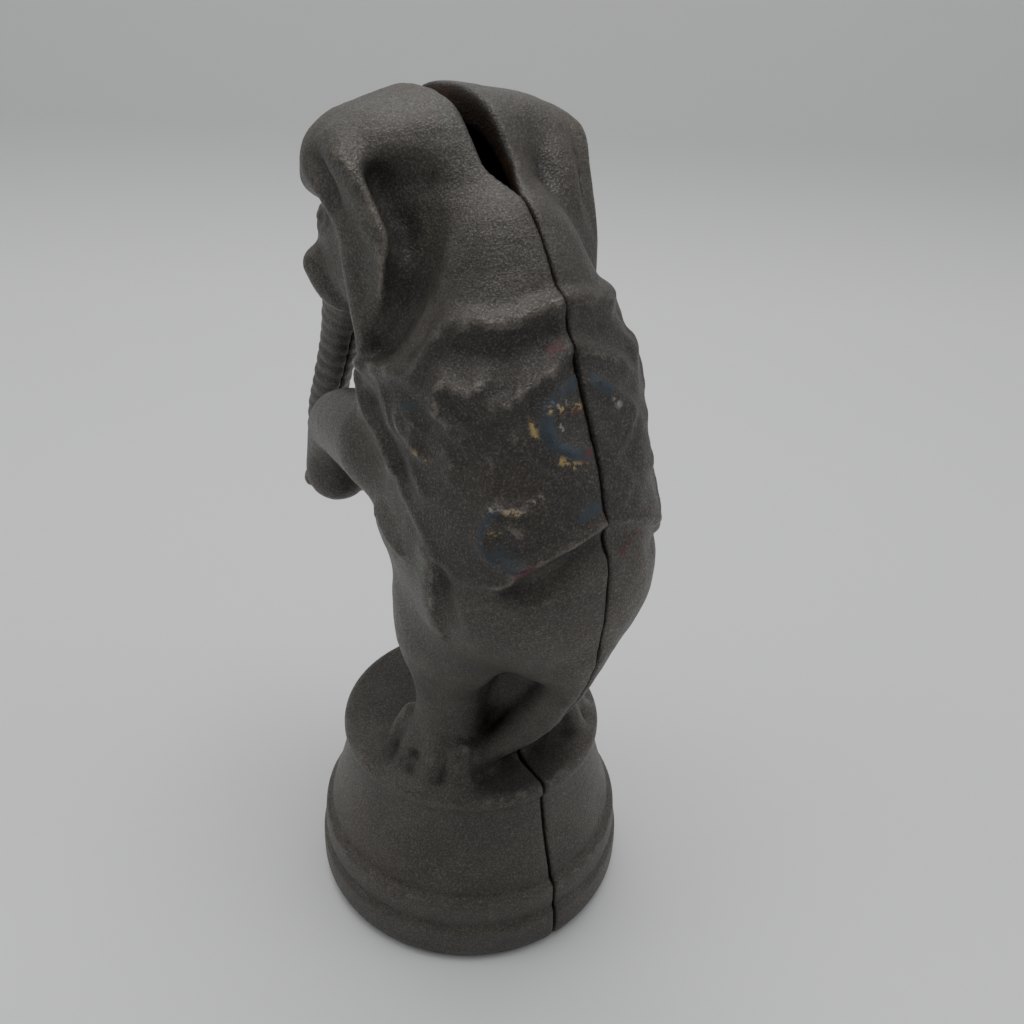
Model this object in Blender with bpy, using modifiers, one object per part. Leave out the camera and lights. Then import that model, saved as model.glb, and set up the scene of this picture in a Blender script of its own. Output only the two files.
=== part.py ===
"""Still bank of cast iron: an elephant that stands upright on a round tub, cast as two hollow halves.

The halves meet on the plane X = 0 and one machine screw draws them together. The elephant faces -Y,
its left side is +X, and the tub stands on Z = 0. Lengths are written in millimetres and built in metres.
"""

from math import cos, pi, radians, sin

import bmesh
import bpy
from mathutils import Matrix, Vector

MM = 0.001

# Driving dimensions, in millimetres.
HEIGHT = 134.5
TUB_HEIGHT = 33.4
TUB_TOP_RADIUS = 22.3
TUB_BASE_RADIUS = 27.4
WALL = 3.0
PARTING_GAP = 0.3
SLOT_WIDTH = 4.4
SLOT_FRONT = -21.0
SLOT_REAR = 6.5

SCREW_Y = 8.0
SCREW_Z = 88.0
SHANK_RADIUS = 2.08
SHANK_TIP = 12.5
HEAD_RADIUS = 3.8
HEAD_SEAT = -16.5
HEAD_HEIGHT = 2.4
DRIVE_SLOT = 1.0
BOSS_RADIUS = 5.2
BOSS_DEPTH = 17.6
FIT = 0.35

PEG_RADIUS = 1.3
PEG_LENGTH = 2.2
PEG_PLACES = ((-34.5, 105.5), (11.0, 34.2))

VOXEL = 0.9
FORM_RATIO = 0.088

# Horizontal sections of the trunk of the body: height, rear, front, half width.
BODY_SECTIONS = (
    (57.5, 25.0, 4.0, 5.5),
    (61.5, 29.2, -3.0, 9.6),
    (66.5, 31.6, -8.5, 13.4),
    (73.0, 32.8, -13.0, 18.0),
    (80.0, 32.9, -14.5, 19.8),
    (86.0, 31.9, -15.0, 19.8),
    (92.0, 30.0, -15.0, 18.8),
    (98.0, 27.5, -14.5, 18.0),
    (104.0, 24.2, -14.0, 16.6),
    (110.0, 20.4, -14.0, 14.6),
    (116.0, 16.8, -15.0, 12.4),
    (121.0, 13.6, -16.0, 10.4),
    (124.3, 10.8, -15.0, 7.8),
    (126.0, 8.0, -12.0, 4.6),
)
BODY_SQUARENESS = 2.3
BODY_SIDES = 40
HOLLOW_SIDES = 24

HEAD = ((0.0, -12.5, 117.4), (12.2, 21.0, 17.5))


# --- building blocks ---------------------------------------------------------


def clear_scene():
    for obj in list(bpy.data.objects):
        bpy.data.objects.remove(obj, do_unlink=True)


def collection(name, rendered=True):
    group = bpy.data.collections.new(name)
    bpy.context.scene.collection.children.link(group)
    group.hide_render = not rendered
    return group


def add(name, mesh, group):
    obj = bpy.data.objects.new(name, mesh)
    group.objects.link(obj)
    return obj


def mesh_of(bm, name):
    bmesh.ops.recalc_face_normals(bm, faces=bm.faces)
    mesh = bpy.data.meshes.new(name)
    bm.to_mesh(mesh)
    bm.free()
    return mesh


def bake(obj):
    """Replaces an object's data by the mesh that its modifiers or its curve give."""
    bpy.context.view_layer.update()
    graph = bpy.context.evaluated_depsgraph_get()
    mesh = bpy.data.meshes.new_from_object(obj.evaluated_get(graph))
    if obj.type == "MESH":
        obj.modifiers.clear()
        obj.data = mesh
        return obj
    solid = bpy.data.objects.new(obj.name + "_solid", mesh)
    obj.users_collection[0].objects.link(solid)
    bpy.data.objects.remove(obj, do_unlink=True)
    weld(solid)
    return solid


def weld(obj, distance=0.02):
    bm = bmesh.new()
    bm.from_mesh(obj.data)
    bmesh.ops.remove_doubles(bm, verts=bm.verts, dist=distance * MM)
    bmesh.ops.recalc_face_normals(bm, faces=bm.faces)
    bm.to_mesh(obj.data)
    bm.free()


def ball(name, centre, radii, group, segments=32):
    """An ellipsoid."""
    bm = bmesh.new()
    bmesh.ops.create_uvsphere(bm, u_segments=segments, v_segments=segments // 2, radius=MM)
    place = Matrix.Translation(Vector(centre) * MM) @ Matrix.Diagonal((*radii, 1.0))
    bmesh.ops.transform(bm, matrix=place, verts=bm.verts)
    return add(name, mesh_of(bm, name), group)


def cylinder(name, radius, start, end, y, z, group, sides=24):
    """A cylinder along X from start to end."""
    bm = bmesh.new()
    ends = {"radius1": radius * MM, "radius2": radius * MM, "depth": (end - start) * MM}
    bmesh.ops.create_cone(bm, cap_ends=True, segments=sides, **ends)
    middle = Vector(((start + end) / 2, y, z)) * MM
    place = Matrix.Translation(middle) @ Matrix.Rotation(pi / 2, 4, "Y")
    bmesh.ops.transform(bm, matrix=place, verts=bm.verts)
    return add(name, mesh_of(bm, name), group)


def box(name, low, high, group):
    bm = bmesh.new()
    bmesh.ops.create_cube(bm, size=MM)
    low, high = Vector(low), Vector(high)
    place = Matrix.Translation((low + high) / 2 * MM) @ Matrix.Diagonal((*(high - low), 1.0))
    bmesh.ops.transform(bm, matrix=place, verts=bm.verts)
    return add(name, mesh_of(bm, name), group)


def limb(name, points, group):
    """A round limb along (x, y, z, radius) points, smooth between them, with rounded ends."""
    curve = bpy.data.curves.new(name, "CURVE")
    curve.dimensions = "3D"
    curve.bevel_depth = MM
    curve.bevel_resolution = 5
    curve.resolution_u = 8
    curve.use_fill_caps = True
    spline = curve.splines.new("BEZIER")
    spline.bezier_points.add(len(points) - 1)
    for knot, (x, y, z, radius) in zip(spline.bezier_points, points):
        knot.co = Vector((x, y, z)) * MM
        knot.radius = radius
        knot.handle_left_type = knot.handle_right_type = "AUTO"
    tube = bake(add(name, curve, group))
    ends = (points[0], points[-1])
    return [tube, *(ball(name + "_end", end[:3], (end[3],) * 3, group) for end in ends)]


def section_ring(height, rear, front, half_width, sides, squareness):
    """Points of one horizontal section: an ellipse made squarer by its exponent."""
    middle, depth = (rear + front) / 2, (rear - front) / 2
    ring = []
    for step in range(sides):
        angle = 2 * pi * step / sides
        across, along = cos(angle), sin(angle)
        reach = (abs(across) ** squareness + abs(along) ** squareness) ** (-1 / squareness)
        x, y = half_width * across * reach, middle + depth * along * reach
        ring.append(Vector((x, y, height)) * MM)
    return ring


def body_loft(name, group, inset=0.0, sides=BODY_SIDES):
    """The trunk of the body, or its hollow where inset is the wall's thickness."""
    bm = bmesh.new()
    rings = []
    for height, rear, front, half_width in BODY_SECTIONS:
        if half_width - inset < 3.0:
            continue
        ends = (rear - inset, front + inset, half_width - inset)
        ring = section_ring(height, *ends, sides, BODY_SQUARENESS)
        rings.append([bm.verts.new(point) for point in ring])
    for lower, upper in zip(rings, rings[1:]):
        for step in range(sides):
            following = (step + 1) % sides
            bm.faces.new((lower[step], lower[following], upper[following], upper[step]))
    bm.faces.new(rings[0])
    bm.faces.new(rings[-1])
    return add(name, mesh_of(bm, name), group)


def turned(name, profile, group, sides=56):
    """A solid of revolution about Z from (radius, height) points that start and end on the axis."""
    bm = bmesh.new()
    points = [bm.verts.new((radius * MM, 0.0, height * MM)) for radius, height in profile]
    for start, end in zip(points, points[1:]):
        bm.edges.new((start, end))
    mesh = bpy.data.meshes.new(name)
    bm.to_mesh(mesh)
    bm.free()
    obj = add(name, mesh, group)
    spin = obj.modifiers.new("turn", "SCREW")
    spin.axis = "Z"
    spin.steps = spin.render_steps = sides
    spin.use_merge_vertices = True
    spin.merge_threshold = 0.00001
    bake(obj)
    weld(obj)
    return obj


def joined(name, pieces, group):
    """One object that holds the meshes of several."""
    bm = bmesh.new()
    for piece in pieces:
        bm.from_mesh(piece.data)
    for piece in pieces:
        bpy.data.objects.remove(piece, do_unlink=True)
    mesh = bpy.data.meshes.new(name)
    bm.to_mesh(mesh)
    bm.free()
    return add(name, mesh, group)


def mirrored(name, source, group):
    """A copy of an object on the other side of the parting plane."""
    bm = bmesh.new()
    bm.from_mesh(source.data)
    bmesh.ops.scale(bm, vec=(-1.0, 1.0, 1.0), verts=bm.verts)
    bmesh.ops.reverse_faces(bm, faces=bm.faces)
    mesh = bpy.data.meshes.new(name)
    bm.to_mesh(mesh)
    bm.free()
    return add(name, mesh, group)


def cut(obj, tool, operation="DIFFERENCE"):
    modifier = obj.modifiers.new(operation.lower(), "BOOLEAN")
    modifier.operation = operation
    modifier.object = tool
    modifier.solver = "EXACT"
    bake(obj)
    return obj


def iron(name, colour, roughness):
    material = bpy.data.materials.new(name)
    material.use_nodes = True
    shader = material.node_tree.nodes["Principled BSDF"]
    shader.inputs["Base Color"].default_value = (*colour, 1.0)
    shader.inputs["Roughness"].default_value = roughness
    shader.inputs["Metallic"].default_value = 0.8
    return material


# --- the outer form ------------------------------------------------------------


def ear(side, group):
    """A flap from its root beside the nape to its outer edge, with a rolled rim along that edge."""
    root = ((3, -9, 130), (6, -7.5, 128), (8, -8, 123), (9, -8.5, 117), (10, -8, 110), (10.5, -6, 104))
    edge = (
        (8.5, -10, 132.0),
        (15.0, -11.0, 131.0),
        (18.6, -9.6, 127.2),
        (19.0, -5.4, 120.5),
        (18.4, -2.0, 112.5),
        (16.2, -1.0, 105.2),
    )
    bm = bmesh.new()
    inner = [bm.verts.new(Vector((side * x, y, z)) * MM) for x, y, z in root]
    outer = [bm.verts.new(Vector((side * x, y, z)) * MM) for x, y, z in edge]
    for step in range(len(root) - 1):
        bm.faces.new((inner[step], inner[step + 1], outer[step + 1], outer[step]))
    flap = add("ear_flap", mesh_of(bm, "ear_flap"), group)
    smooth = flap.modifiers.new("smooth", "SUBSURF")
    smooth.levels = smooth.render_levels = 3
    thick = flap.modifiers.new("thickness", "SOLIDIFY")
    thick.thickness = 4.4 * MM
    thick.offset = 0.0
    bake(flap)
    rim = limb("ear_rim", [(side * x, y, z, 2.3) for x, y, z in edge], group)
    return [flap, *rim]


# Limbs as (x, y, z, radius) stations; those with a left and a right are given for the left side.
NOSE = (
    (0, -32.5, 105.0, 7.0),
    (0, -38.8, 98.0, 4.8),
    (0, -42.6, 91.5, 3.8),
    (0, -45.6, 84.5, 3.4),
    (0, -49.4, 77.0, 3.3),
    (0, -52.6, 70.0, 3.3),
    (0, -53.8, 63.5, 3.3),
    (0, -50.4, 59.4, 3.3),
    (0, -44.0, 59.6, 3.2),
    (0, -37.5, 62.6, 3.2),
    (0, -33.0, 66.5, 3.2),
)
TAIL = (
    (0, 28.2, 66, 3.4),
    (0, 26.4, 59, 3.1),
    (0, 22.2, 51.5, 3.0),
    (0, 16.0, 43, 3.0),
    (0, 11.0, 35.5, 3.2),
)
TUSK = ((4.6, -27.5, 98.0, 3.4), (6.8, -29.6, 101.8, 3.6), (8.4, -31.0, 105.8, 3.3))
LOWER_LIP = ((0, -21, 103, 5.5), (0, -27, 98, 4.6), (0, -31.5, 94.5, 3.2))
FORELEG = (
    (12.0, -5, 87, 7.6),
    (10.5, -17, 83.5, 6.4),
    (8.8, -27.5, 79.5, 5.4),
    (8.3, -31.4, 74, 5.2),
    (8.1, -32.2, 68.0, 5.8),
)
SHIN = ((8.8, 7.0, 58, 7.6), (8.8, 7.6, 48, 5.8), (9.2, 7.2, 41, 5.7), (9.8, 6.6, 36, 6.8))
# The hollow between the nape and the back of the ear.
EAR_HOLLOW = (
    (12.6, 4.2, 121.5, 2.6),
    (14.2, 3.4, 117.0, 4.0),
    (15.8, 4.0, 111.0, 4.4),
    (16.4, 4.2, 104.5, 2.4),
)


def blend(obj):
    """Turns overlapping solids into one even skin."""
    remesh = obj.modifiers.new("remesh", "REMESH")
    remesh.mode = "VOXEL"
    remesh.voxel_size = VOXEL * MM
    return bake(obj)


def form(group):
    """The elephant as one closed solid, without the tub."""
    pieces = [
        body_loft("body", group),
        ball("head", *HEAD, group),
        ball("face", (0, -26, 109.5), (10.2, 11.8, 12.0), group),
        ball("crown", (0, -9.0, 122.0), (19.6, 10.0, 10.0), group),
    ]
    pieces += limb("trunk", NOSE, group)
    pieces += limb("tail", TAIL, group)
    pieces += limb("lower_lip", LOWER_LIP, group)
    for side in (1, -1):
        pieces += ear(side, group)
        limbs = (("tusk", TUSK), ("foreleg", FORELEG), ("shin", SHIN))
        for name, stations in limbs:
            pieces += limb(name, [(side * x, y, z, radius) for x, y, z, radius in stations], group)
        pieces.append(ball("thigh", (side * 9.4, 8.0, 64.0), (8.6, 12.5, 13.5), group))
        pieces.append(ball("buttock", (side * 7.6, 16.0, 72.0), (9.2, 12.4, 9.8), group))
        pieces.append(ball("hind_foot", (side * 9.8, 6.4, 35.0), (8.0, 8.6, 4.4), group))
    solid = joined("form", pieces, group)
    blend(solid)
    for side in (1, -1):
        stations = [(side * x, y, z, radius) for x, y, z, radius in EAR_HOLLOW]
        hollow = joined("ear_hollow", limb("ear_hollow", stations, group), group)
        cut(solid, blend(hollow))
    blend(solid)
    soften = solid.modifiers.new("soften", "SMOOTH")
    soften.factor = 0.5
    soften.iterations = 5
    thin = solid.modifiers.new("thin", "DECIMATE")
    thin.ratio = FORM_RATIO
    return bake(solid)


def tub(group):
    """The tub as a bell that is open underneath: rim band, flared neck, raised band and rounded foot."""
    top = TUB_TOP_RADIUS
    base = TUB_BASE_RADIUS
    outside = [
        (0.0, TUB_HEIGHT),
        (top - 1.2, TUB_HEIGHT),
        (top - 0.3, TUB_HEIGHT - 0.4),
        (top, TUB_HEIGHT - 1.2),
        (top, 31.2),
        (top - 0.5, 30.6),
        (top - 0.2, 27.5),
        (22.8, 23.5),
        (23.9, 19.5),
        (25.1, 15.8),
        (25.6, 13.9),
        (26.3, 13.2),
        (26.6, 10.0),
        (26.7, 7.9),
        (27.2, 7.2),
        (base, 5.0),
        (base, 2.6),
        (base - 0.5, 1.0),
        (base - 1.6, 0.0),
    ]
    inside = [
        (base - 1.6 - WALL, 0.0),
        (base - WALL - 1.2, 3.0),
        (23.4, 12.0),
        (20.6, 20.0),
        (19.0, 28.0),
        (17.5, TUB_HEIGHT - WALL - 0.4),
        (15.5, TUB_HEIGHT - WALL),
        (0.0, TUB_HEIGHT - WALL),
    ]
    return turned("tub", outside + inside, group)


# --- the pieces -----------------------------------------------------------------


def hollow_shell(group, tools):
    """The left half before its own details: outer form and tub, split at the parting plane and hollowed."""
    far = 90.0
    shell = joined("shell", [form(tools)], group)
    cut(shell, tub(tools), "UNION")
    edge = PARTING_GAP / 2
    cut(shell, box("left_space", (edge, -far, -1), (far, far, HEIGHT + 9), tools), "INTERSECT")
    cut(shell, body_loft("body_hollow", tools, WALL, HOLLOW_SIDES))
    centre, radii = HEAD
    inner = [radius - WALL for radius in radii]
    cut(shell, ball("head_hollow", centre, inner, tools, HOLLOW_SIDES))
    boss = cylinder("boss", BOSS_RADIUS, edge, BOSS_DEPTH, SCREW_Y, SCREW_Z, tools)
    cut(shell, boss, "UNION")
    low = (-SLOT_WIDTH / 2, SLOT_FRONT, HEAD[0][2])
    high = (SLOT_WIDTH / 2, SLOT_REAR, HEIGHT + 9)
    return cut(shell, box("slot", low, high, tools))


def finish_left(half, tools):
    """The left half: a blind hole that takes the screw, and two cast pegs that place the other half."""
    edge = PARTING_GAP / 2
    hole = SHANK_RADIUS + FIT
    cut(half, cylinder("blind_hole", hole, -1.0, SHANK_TIP + 0.6, SCREW_Y, SCREW_Z, tools))
    for number, (y, z) in enumerate(PEG_PLACES, 1):
        peg = cylinder(f"peg_{number}", PEG_RADIUS, edge - PEG_LENGTH, edge + 1.0, y, z, tools)
        cut(half, peg, "UNION")


def finish_right(half, tools):
    """The right half: a clearance hole with a seat for the screw's head, and a socket for each peg."""
    edge = PARTING_GAP / 2
    place = (SCREW_Y, SCREW_Z, tools)
    cut(half, cylinder("clearance_hole", SHANK_RADIUS + FIT, -40.0, 1.0, *place))
    cut(half, cylinder("head_seat", HEAD_RADIUS + FIT, -40.0, HEAD_SEAT, *place))
    floor = -PEG_LENGTH - FIT
    for number, (y, z) in enumerate(PEG_PLACES, 1):
        cut(half, cylinder(f"socket_{number}", PEG_RADIUS + FIT, floor, 1.0, y, z, tools))


def screw(group, tools):
    """The round-head machine screw, with its head in the right flank and its tip in the left boss."""
    under_head = HEAD_SEAT - PARTING_GAP
    body = cylinder("screw", SHANK_RADIUS, under_head - 0.5, SHANK_TIP, SCREW_Y, SCREW_Z, group)
    radii = (HEAD_HEIGHT, HEAD_RADIUS, HEAD_RADIUS)
    dome = ball("dome", (under_head, SCREW_Y, SCREW_Z), radii, tools, 24)
    front = (under_head, SCREW_Y - 9, SCREW_Z - 9)
    cut(dome, box("behind_head", front, (under_head + 9, SCREW_Y + 9, SCREW_Z + 9), tools))
    cut(body, dome, "UNION")
    top = under_head - HEAD_HEIGHT
    half_slot = DRIVE_SLOT / 2
    low = (top - 1, SCREW_Y - 9, SCREW_Z - half_slot)
    cut(body, box("drive_slot", low, (top + 1.1, SCREW_Y + 9, SCREW_Z + half_slot), tools))
    return body


def main():
    clear_scene()
    shown = collection("still_bank")
    tools = collection("cutters", rendered=False)
    left = hollow_shell(shown, tools)
    left.name = "left_half"
    right = mirrored("right_half", left, shown)
    finish_left(left, tools)
    finish_right(right, tools)
    fastener = screw(shown, tools)
    left.data.materials.append(iron("cast_iron_left", (0.075, 0.068, 0.062), 0.62))
    right.data.materials.append(iron("cast_iron_right", (0.072, 0.066, 0.061), 0.62))
    fastener.data.materials.append(iron("screw_steel", (0.16, 0.15, 0.14), 0.45))

    low = min(corner[1] for half in (left, right) for corner in half.bound_box)
    high = max(corner[1] for half in (left, right) for corner in half.bound_box)
    centre = bpy.data.objects.new("bank", None)
    shown.objects.link(centre)
    centre.location.y = -(low + high) / 2
    for piece in (left, right, fastener):
        piece.parent = centre
        piece.data.shade_smooth()
        piece.data.set_sharp_from_angle(angle=radians(40))
    for tool in tools.objects:
        tool.hide_render = True
        tool.hide_viewport = True
        tool.display_type = "WIRE"


main()
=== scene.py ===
"""Looks of the cast iron still bank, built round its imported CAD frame.

The castings are sculpted as signed distance fields on an even grid: limbs, folds and mouldings are blended
into one field, the field is split at the parting plane and hollowed, and a surface net turns it into meshes.
Sculpting lengths are millimetres in the tub's own frame: the tub's axis is x = y = 0, it stands on z = 0,
the elephant faces -y and its left side is +x. The meshes are then moved into the frame's coordinates.
"""

from itertools import product
from math import cos, radians, sin

import bpy
import numpy as np
from mathutils import Matrix, Vector


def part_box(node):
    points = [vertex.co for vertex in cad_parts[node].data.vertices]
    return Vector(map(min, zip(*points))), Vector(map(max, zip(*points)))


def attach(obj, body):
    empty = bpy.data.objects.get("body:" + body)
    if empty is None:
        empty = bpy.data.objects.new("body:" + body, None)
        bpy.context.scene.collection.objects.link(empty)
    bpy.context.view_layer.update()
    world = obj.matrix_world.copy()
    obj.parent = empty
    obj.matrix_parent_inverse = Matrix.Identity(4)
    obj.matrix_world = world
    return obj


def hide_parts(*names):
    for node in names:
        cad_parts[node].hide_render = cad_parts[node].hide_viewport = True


MM = 0.001
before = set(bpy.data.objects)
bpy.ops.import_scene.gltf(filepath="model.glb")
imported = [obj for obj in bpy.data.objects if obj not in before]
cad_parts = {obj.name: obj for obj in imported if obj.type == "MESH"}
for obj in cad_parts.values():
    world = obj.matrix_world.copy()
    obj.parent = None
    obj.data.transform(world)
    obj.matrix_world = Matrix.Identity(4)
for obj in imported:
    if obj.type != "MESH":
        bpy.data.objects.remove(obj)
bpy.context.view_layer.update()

# Driving sizes, in millimetres. First the cells of the grids, and how far past a shape its window reaches.
CELL = 0.45
SCREW_CELL = 0.2
MARGIN = 6.0

# The castings' wall, half of the gap where they meet, and the rounding of their edges there.
WALL = 3.0
PARTING = 0.01
WORN_EDGE = 0.35

# The tub's height, and its radius at the top and at the foot.
TUB_HEIGHT = 33.4
TUB_TOP = 22.3
TUB_BASE = 27.4

# The screw, along x: its place, the shank's radius and tip, the head's underside, radius and height.
SCREW_Y = 8.0
SCREW_Z = 88.0
SHANK = 2.05
SHANK_TIP = 12.5
HEAD_SEAT = -16.5
HEAD_RADIUS = 3.8
HEAD_HEIGHT = 2.4
DRIVE_SLOT = 1.0
PITCH = 1.06
THREAD_DEPTH = 0.32
THREAD_START = -7.0

# The boss that the screw goes into, the play round the screw and the pegs, and the pegs at (y, z).
BOSS = 5.2
FIT = 0.35
PEG = 1.3
PEG_LENGTH = 2.2
PEGS = ((-34.5, 105.5), (11.0, 34.2))

# The coin slot, along y.
SLOT_WIDTH = 4.4
SLOT_FRONT = -21.0
SLOT_REAR = 6.5

low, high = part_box("screw")
TUB_AXIS_Y = (low.y + high.y) / 2 - SCREW_Y * MM


# --- fields ---


def smooth_min(a, b, radius):
    """The smaller of two distances, with a fillet of about that radius where they are alike."""
    near = np.maximum(radius - np.abs(a - b), 0.0) / radius
    return np.minimum(a, b) - near * near * radius / 4


def smooth_max(a, b, radius):
    return -smooth_min(-a, -b, radius)


class Field:
    """Signed distances in millimetres on an even grid: below zero is iron."""

    def __init__(self, low, high, cell=CELL):
        self.cell = cell
        self.axes = [np.arange(a, b + cell, cell, dtype=np.float32) for a, b in zip(low, high)]
        self.values = np.full([len(axis) for axis in self.axes], 50.0, np.float32)

    def window(self, low, high):
        """The part of the grid between two corners: its slices, and its x, y and z ready to broadcast."""
        cuts = tuple(
            slice(*np.searchsorted(axis, (a, b))) for axis, a, b in zip(self.axes, low, high)
        )
        x, y, z = (axis[part] for axis, part in zip(self.axes, cuts))
        return cuts, x[:, None, None], y[None, :, None], z[None, None, :]

    def around(self, points, reach):
        points = np.asarray(points, float)
        return self.window(points.min(0) - reach, points.max(0) + reach)

    def join(self, cuts, distance, radius):
        if distance.size:
            self.values[cuts] = smooth_min(self.values[cuts], distance, radius)

    def carve(self, cuts, distance, radius):
        if distance.size:
            self.values[cuts] = smooth_max(self.values[cuts], -distance, radius)

    def copy(self):
        twin = object.__new__(Field)
        twin.cell, twin.axes, twin.values = self.cell, self.axes, self.values.copy()
        return twin

    def sample(self, values, points):
        """Grid values at (x, y, z) rows, by trilinear interpolation."""
        scaled = (points - [axis[0] for axis in self.axes]) / self.cell
        cells = np.clip(np.floor(scaled).astype(int), 0, np.array(values.shape) - 2)
        shares = scaled - cells
        total = np.zeros(len(points))
        for corner in product((0, 1), repeat=3):
            weight = np.prod(np.where(corner, shares, 1 - shares), axis=1)
            total += weight * values[tuple((cells + corner).T)]
        return total


def smooth_path(stations, steps=4):
    """Points along a Catmull-Rom curve through the stations, whose further numbers are carried along."""
    stations = np.asarray(stations, float)
    padded = np.vstack([2 * stations[0] - stations[1], stations, 2 * stations[-1] - stations[-2]])
    t = (np.arange(steps) / steps)[:, None]
    runs = []
    for a, b, c, d in zip(padded, padded[1:], padded[2:], padded[3:]):
        bend, twist = 2 * a - 5 * b + 4 * c - d, 3 * b - a - 3 * c + d
        runs.append(0.5 * (2 * b + (c - a) * t + bend * t**2 + twist * t**3))
    return np.vstack([*runs, stations[-1]])


def along_run(x, y, z, start, end):
    """Squared distance to a straight run, and the fourth number of its ends at the nearest place."""
    run = end[:3] - start[:3]
    length = max(float(run @ run), 1e-9)
    t = ((x - start[0]) * run[0] + (y - start[1]) * run[1] + (z - start[2]) * run[2]) / length
    t = np.clip(t, 0.0, 1.0)
    across = (value - first - t * step for value, first, step in zip((x, y, z), start, run))
    return sum(away**2 for away in across), start[3] + t * (end[3] - start[3])


def to_chain(x, y, z, chain):
    """Distance to a chain of balls with straight cones between them, given as (x, y, z, radius) rows."""
    nearest = None
    for start, end in zip(chain, chain[1:]):
        squared, radius = along_run(x, y, z, start, end)
        away = np.sqrt(squared) - radius
        nearest = away if nearest is None else np.minimum(nearest, away)
    return nearest


def limb(field, stations, fillet=2.5, carve=False, rings=0.0):
    """A round limb through (x, y, z, radius) stations, with soft rings, joined to the field or carved."""
    chain = smooth_path(stations, 8)
    chain[:, 3] += rings * np.cos(np.arange(len(chain)) * 2 * np.pi / 3)
    cuts, x, y, z = field.around(chain[:, :3], float(chain[:, 3].max()) + MARGIN)
    distance = to_chain(x, y, z, chain).astype(np.float32)
    (field.carve if carve else field.join)(cuts, distance, fillet)


def to_ball(x, y, z, centre, radii):
    """About the distance to an ellipsoid."""
    across = [(value - middle) for value, middle in zip((x, y, z), centre)]
    near = np.sqrt(sum((a / r) ** 2 for a, r in zip(across, radii)))
    slope = np.sqrt(sum((a / r**2) ** 2 for a, r in zip(across, radii)))
    return near * (near - 1.0) / np.maximum(slope, 1e-6)


def ball(field, centre, radii, fillet=3.0, carve=False):
    """An ellipsoid, joined to the field or carved from it."""
    cuts, x, y, z = field.window(*(np.array(centre) + s * (np.array(radii) + MARGIN) for s in (-1, 1)))
    distance = to_ball(x, y, z, centre, radii).astype(np.float32)
    (field.carve if carve else field.join)(cuts, distance, fillet)


def to_rod(x, y, z, radius, start, end, at_y, at_z):
    """Distance to a cylinder along x from start to end."""
    side = np.sqrt((y - at_y) ** 2 + (z - at_z) ** 2) - radius
    return np.maximum(np.maximum(start - x, x - end), side)


def surface_net(field, values):
    """Vertices and quads of the zero level: a vertex for each crossed cell, a quad for each crossed edge."""
    shape = np.array(values.shape) - 1
    corners = list(product((0, 1), repeat=3))
    picked = [values[tuple(slice(c, c + n) for c, n in zip(corner, shape))] for corner in corners]
    inside = sum((part < 0).astype(np.int8) for part in picked)
    cells = np.argwhere((inside > 0) & (inside < 8))
    number = np.full(shape, -1, np.int32)
    number[tuple(cells.T)] = np.arange(len(cells))
    at = np.stack([part[tuple(cells.T)] for part in picked], 1)
    total = np.zeros((len(cells), 3))
    count = np.zeros(len(cells))
    for a, b in product(range(8), repeat=2):
        step = np.array(corners[b]) - corners[a]
        if step.min() < 0 or step.sum() != 1:
            continue
        crossed = (at[:, a] < 0) != (at[:, b] < 0)
        share = at[crossed, a] / (at[crossed, a] - at[crossed, b])
        total[crossed] += np.array(corners[a]) + share[:, None] * step
        count[crossed] += 1
    points = (cells + total / count[:, None]) * field.cell + [axis[0] for axis in field.axes]
    quads = []
    for axis in range(3):
        one, two = (axis + 1) % 3, (axis + 2) % 3
        before = np.take(values, range(values.shape[axis] - 1), axis) < 0
        after = np.take(values, range(1, values.shape[axis]), axis) < 0
        edges = np.argwhere(before != after)
        edges = edges[(edges[:, one] > 0) & (edges[:, two] > 0)]
        edges = edges[(edges[:, one] < shape[one]) & (edges[:, two] < shape[two])]
        leaving = before[tuple(edges.T)]
        around = []
        for shift_one, shift_two in ((1, 1), (0, 1), (0, 0), (1, 0)):
            cell = edges.copy()
            cell[:, one] -= shift_one
            cell[:, two] -= shift_two
            around.append(number[tuple(cell.T)])
        quad = np.stack(around, 1)
        quad[~leaving] = quad[~leaving, ::-1]
        quads.append(quad)
    return points, np.vstack(quads)


# --- the elephant ---

# Horizontal sections of the trunk of the body: height, rear, front, half width.
BODY_SECTIONS = np.array(
    (
        (55.0, 21.0, 6.0, 2.0),
        (57.5, 25.0, 4.0, 5.5),
        (61.5, 29.2, -3.0, 9.4),
        (66.5, 31.6, -8.5, 13.0),
        (73.0, 32.8, -13.0, 17.0),
        (80.0, 32.7, -14.5, 17.7),
        (86.0, 31.4, -15.0, 17.3),
        (92.0, 29.4, -15.0, 16.8),
        (98.0, 26.9, -14.5, 17.0),
        (104.0, 23.8, -14.0, 16.6),
        (110.0, 20.5, -14.0, 14.6),
        (116.0, 18.1, -15.0, 12.3),
        (121.0, 14.8, -16.0, 9.8),
        (124.3, 11.6, -15.0, 6.8),
        (126.5, 7.0, -12.0, 2.0),
    )
)
SQUARENESS = 2.3

# The corners of the castings' grid, a little past the left half and the parting plane.
FORM_LOW = (-2.8, -60.0, -1.5)
FORM_HIGH = (31.0, 37.0, 138.0)

# Rounded masses, as a centre and three radii.
HEAD = ((0.0, -11.0, 117.4), (12.2, 21.0, 16.7))
FACE = ((0, -26, 109.5), (10.2, 11.8, 12.0))
THIGH = ((9.1, 8.0, 64.0), (7.7, 12.2, 13.5))
RUMP = ((7.6, 16.0, 72.0), (9.2, 12.4, 9.8))
FOOT = ((9.4, 6.4, 35.0), (7.0, 7.9, 4.3))
TOE_PIT = ((16.5, 8.4, 37.2), (0.9, 1.0, 1.0))
EYE = ((8.7, -29.2, 113.8), (1.2, 1.7, 1.2))

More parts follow.
